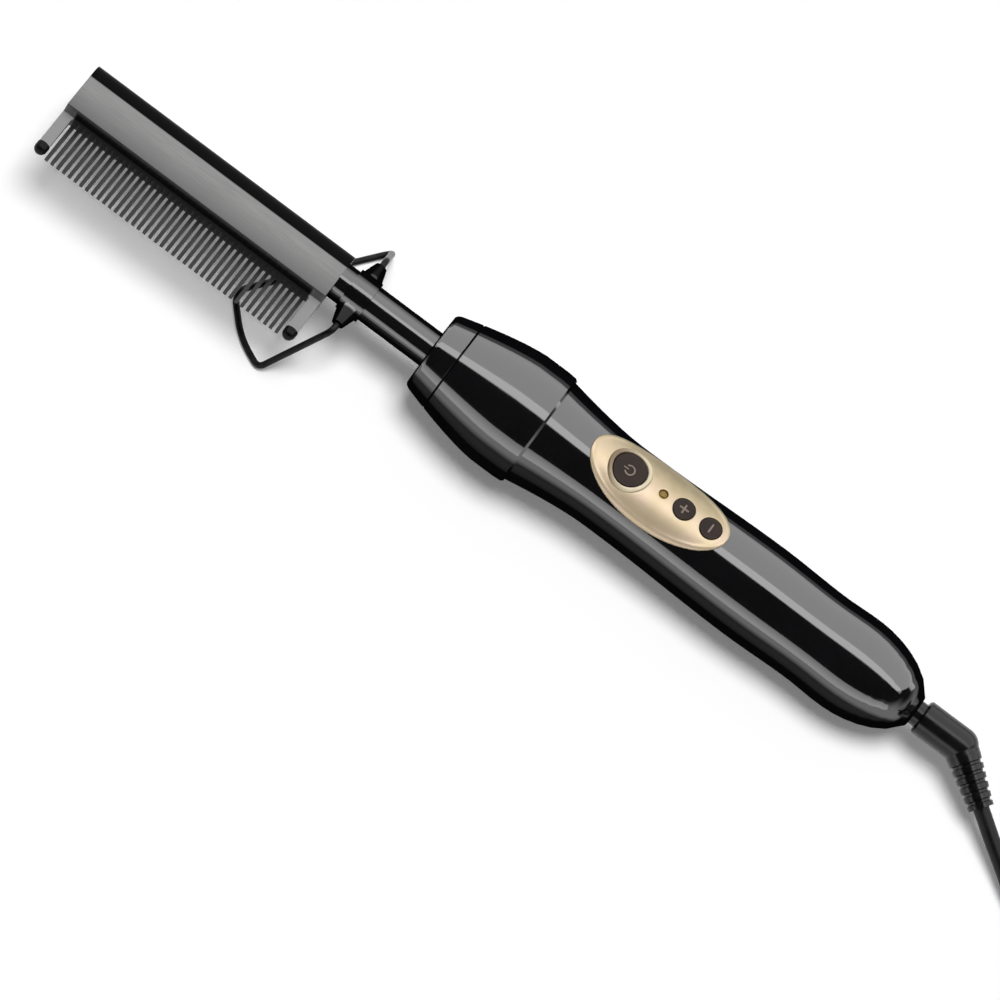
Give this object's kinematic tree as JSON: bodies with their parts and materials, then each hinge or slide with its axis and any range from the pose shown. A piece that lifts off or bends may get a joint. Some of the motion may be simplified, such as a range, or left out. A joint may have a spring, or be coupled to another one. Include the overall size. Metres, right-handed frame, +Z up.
{
  "type": "electric hot comb",
  "caption": "Electric pressing comb: toothed metal comb on a black neck, folding wire stand, waisted gloss handle with buttons on a gold plate, swivel cord.",
  "frame": {"origin": "on the table, under the middle of the tool's length and width, the cord and plug left out", "axes": "+X runs from the comb's tip towards the cord, +Y towards the comb's back (the teeth point to -Y), +Z up, out of the buttons; the tool's axis leans 1.78 degrees down towards the cord, as it rests"},
  "size_m": [0.4531, 0.0938, 0.0388],
  "materials": {
    "comb_metal": "satin ground metal, darker between the teeth",
    "bead_black": "heat-proof black beads",
    "heater_ceramic": "ceramic",
    "probe_glass": "sleeved glass bead",
    "lead_sleeve": "glass-fibre sleeve",
    "neck_enamel": "gloss black enamel",
    "mount_moulding": "brown thermoset moulding",
    "screw_steel": "zinc plated",
    "clip_enamel": "black enamel",
    "wire_steel": "dark bright-finished wire",
    "shell_gloss": "high gloss black",
    "plate_gold": "satin champagne gold",
    "ring_cream": "pearl cream",
    "button_dark": "dark brown-black, raised marks",
    "lamp_amber": "amber lens",
    "board_green": "solder mask",
    "switch_black": "moulded",
    "component_black": "moulded epoxy",
    "fuse_metal": "capped tube",
    "capacitor_yellow": "dipped film",
    "lead_brown": "insulated wire",
    "holder_nylon": "natural nylon",
    "brush_copper": "spring bronze",
    "ring_brass": "turned brass",
    "swivel_black": "satin black",
    "cord_black": "satin black PVC",
    "blade_brass": "plated brass"
  },
  "bodies": {
    "handle": {"comb_body": "comb_metal", "guard_tips": "bead_black", "heater_cartridge": "heater_ceramic", "temperature_probe": "probe_glass", "heater_leads": "lead_sleeve", "neck_tube": "neck_enamel", "neck_mount": "mount_moulding", "mount_screws": "screw_steel", "stand_clip": "clip_enamel", "nose_ring": "shell_gloss", "nose_collar": "shell_gloss", "upper_shell": "shell_gloss", "lower_shell": "shell_gloss", "case_screws": "screw_steel", "control_plate": "plate_gold", "power_ring": "ring_cream", "status_lamp": "lamp_amber", "circuit_board": "board_green", "power_switch": "switch_black", "plus_switch": "switch_black", "minus_switch": "switch_black", "triac": "component_black", "mains_fuse": "fuse_metal", "film_capacitor": "capacitor_yellow", "mains_leads": "lead_brown", "brush_holder": "holder_nylon", "contact_brushes": "brush_copper"},
    "stand": {"stand_wire": "wire_steel"},
    "power": {"power_button": "button_dark"},
    "plus": {"plus_button": "button_dark"},
    "minus": {"minus_button": "button_dark"},
    "swivel": {"slip_rings": "ring_brass", "swivel_barrel": "swivel_black", "strain_relief": "swivel_black", "cord_lead": "cord_black", "cord_coil": "cord_black", "cord_tie": "cord_black", "plug_body": "cord_black", "plug_blades": "blade_brass"}
  },
  "joints": [
    {"name": "power_press", "type": "slide", "parent": "handle", "child": "power", "axis": [-0.0311, 0, -0.9995], "range_m": [0, 0.0008], "stiffness_N_per_m": 900, "springref_m": -0.0006},
    {"name": "plus_press", "type": "slide", "parent": "handle", "child": "plus", "axis": [-0.0311, 0, -0.9995], "range_m": [0, 0.0008], "stiffness_N_per_m": 900, "springref_m": -0.0006},
    {"name": "minus_press", "type": "slide", "parent": "handle", "child": "minus", "axis": [-0.0311, 0, -0.9995], "range_m": [0, 0.0008], "stiffness_N_per_m": 900, "springref_m": -0.0006},
    {"name": "stand_fold", "type": "hinge", "parent": "handle", "child": "stand", "pos_m": [-0.06985, 0, 0.02129], "axis": [0, -1, 0], "range_deg": [0, 100]},
    {"name": "cord_swivel", "type": "hinge", "parent": "handle", "child": "swivel", "pos_m": [0.13825, 0, 0.01482], "axis": [0.9995, 0, -0.0311], "continuous": true}
  ]
}
